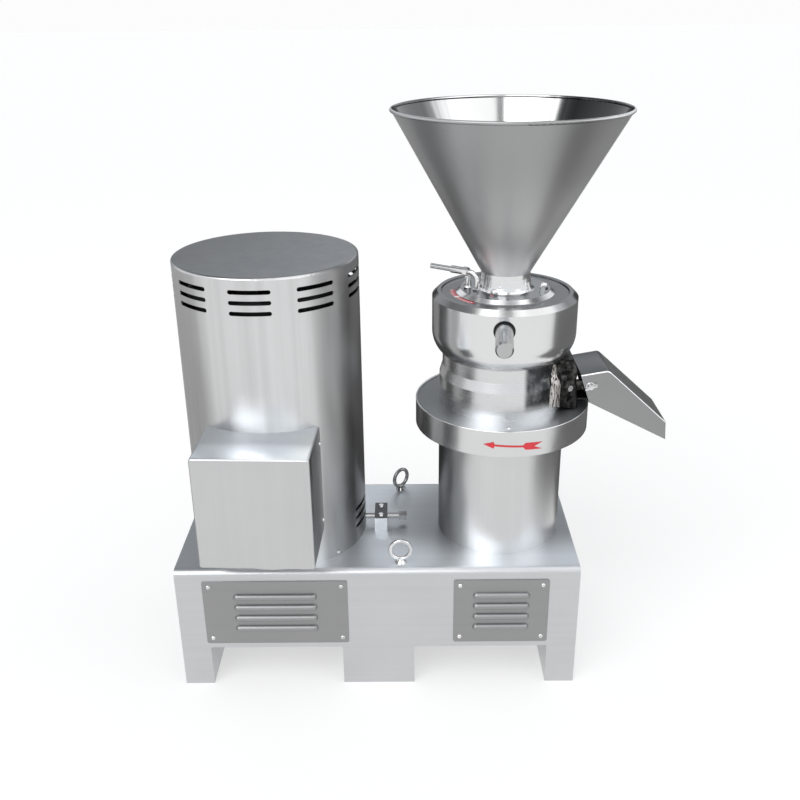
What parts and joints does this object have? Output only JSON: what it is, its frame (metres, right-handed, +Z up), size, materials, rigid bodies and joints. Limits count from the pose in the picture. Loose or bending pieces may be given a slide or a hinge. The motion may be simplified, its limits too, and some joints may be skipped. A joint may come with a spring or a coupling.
{
  "type": "colloid mill",
  "caption": "Belt-driven colloid mill with a hopper over a toothed rotor and stator, an adjusting ring, a discharge chute and a covered upright motor on a folded base.",
  "frame": {"origin": "middle of the base's footprint, on the floor", "axes": "+X from the motor to the mill, the front faces -Y, +Z up"},
  "size_m": [0.997, 0.5394, 1.152],
  "materials": {
    "base_sheet": "fine brushed stainless sheet",
    "panel_sheet": "matt grey sheet",
    "cover_sheet": "brushed stainless sheet, grain upright",
    "mill_steel": "turned and brushed stainless steel",
    "polished": "mirror-polished stainless steel",
    "hopper_sheet": "spun stainless sheet, polished",
    "cast": "dark cast metal",
    "motor_paint": "painted casting",
    "fan_plastic": "moulded plastic",
    "bolts": "plain bright steel",
    "belt_rubber": "matt rubber",
    "seal_rubber": "matt rubber"
  },
  "bodies": {
    "base": {"base_frame": "base_sheet", "end_panel_left": "base_sheet", "end_panel_right": "base_sheet", "leg_channels": "base_sheet", "vent_panel_left": "panel_sheet", "vent_panel_right": "panel_sheet", "panel_screws": "bolts", "eye_bolt_front": "bolts", "eye_bolt_rear": "bolts", "tension_bracket": "bolts", "bracket_screws": "bolts", "column_shell": "cover_sheet", "drip_tray": "mill_steel", "grinding_chamber": "mill_steel", "discharge_spout": "cast", "chamber_screws": "bolts", "wing_bolts": "bolts", "wing_nuts": "bolts", "bearing_housing": "cast", "upper_outer_ring": "bolts", "lower_outer_ring": "bolts", "upper_balls": "bolts", "lower_balls": "bolts", "bearing_cap": "cast", "shaft_seal": "seal_rubber", "drive_belts": "belt_rubber"},
    "motor_carriage": {"motor_base_plate": "cast", "motor_flange": "motor_paint", "motor_housing": "motor_paint", "fan_cowl": "motor_paint", "terminal_box": "motor_paint", "motor_cover": "cover_sheet", "terminal_cover": "cover_sheet", "cover_screws": "bolts"},
    "tension_screw": {"tension_bolt": "bolts", "tension_nut": "bolts"},
    "motor_rotor": {"motor_shaft": "bolts", "motor_fan": "fan_plastic", "motor_pulley": "cast", "motor_pulley_bolt": "bolts"},
    "spindle": {"spindle_shaft": "mill_steel", "grinding_rotor": "mill_steel", "rotor_nut": "mill_steel", "driven_pulley": "cast", "driven_pulley_bolt": "bolts", "upper_inner_ring": "bolts", "lower_inner_ring": "bolts"},
    "stator_carriage": {"stator": "mill_steel", "stator_carrier": "mill_steel", "scale_plate": "mill_steel", "hopper_collar": "polished", "hopper": "hopper_sheet", "acorn_nuts": "polished", "water_inlet": "polished", "water_outlet": "polished"},
    "ring": {"adjusting_ring": "mill_steel", "handle_front": "mill_steel", "handle_rear": "mill_steel"},
    "chute": {"discharge_chute": "mill_steel"}
  },
  "joints": [
    {"name": "belt_tension", "type": "slide", "parent": "base", "child": "motor_carriage", "axis": [1, 0, 0], "range_m": [-0.01, 0.01], "deforming": ["drive_belts"]},
    {"name": "bolt_turn", "type": "hinge", "parent": "motor_carriage", "child": "tension_screw", "pos_m": [0, 0, 0.298], "axis": [1, 0, 0], "range_deg": [-2100, 2100]},
    {"name": "spindle_spin", "type": "hinge", "parent": "base", "child": "spindle", "pos_m": [0.258, 0, 0.5], "axis": [0, 0, 1], "continuous": true},
    {"name": "motor_spin", "type": "hinge", "parent": "motor_carriage", "child": "motor_rotor", "pos_m": [-0.208, 0, 0.5], "axis": [0, 0, 1], "continuous": true},
    {"name": "ring_turn", "type": "hinge", "parent": "base", "child": "ring", "pos_m": [0.258, 0, 0.77], "axis": [0, 0, 1], "range_deg": [-90, 90]},
    {"name": "stator_lift", "type": "slide", "parent": "base", "child": "stator_carriage", "axis": [0, 0, 1], "range_m": [-0.00076, 0.00076]},
    {"name": "chute_tilt", "type": "hinge", "parent": "base", "child": "chute", "pos_m": [0.427, 0, 0.625], "axis": [0, -1, 0], "range_deg": [0, 20]}
  ],
  "couplings": [
    {"joint": "bolt_turn", "follows": "belt_tension", "rad_per_m": 3590.4},
    {"joint": "motor_spin", "follows": "spindle_spin", "ratio": 1},
    {"joint": "stator_lift", "follows": "ring_turn", "m_per_rad": -0.00047746}
  ]
}
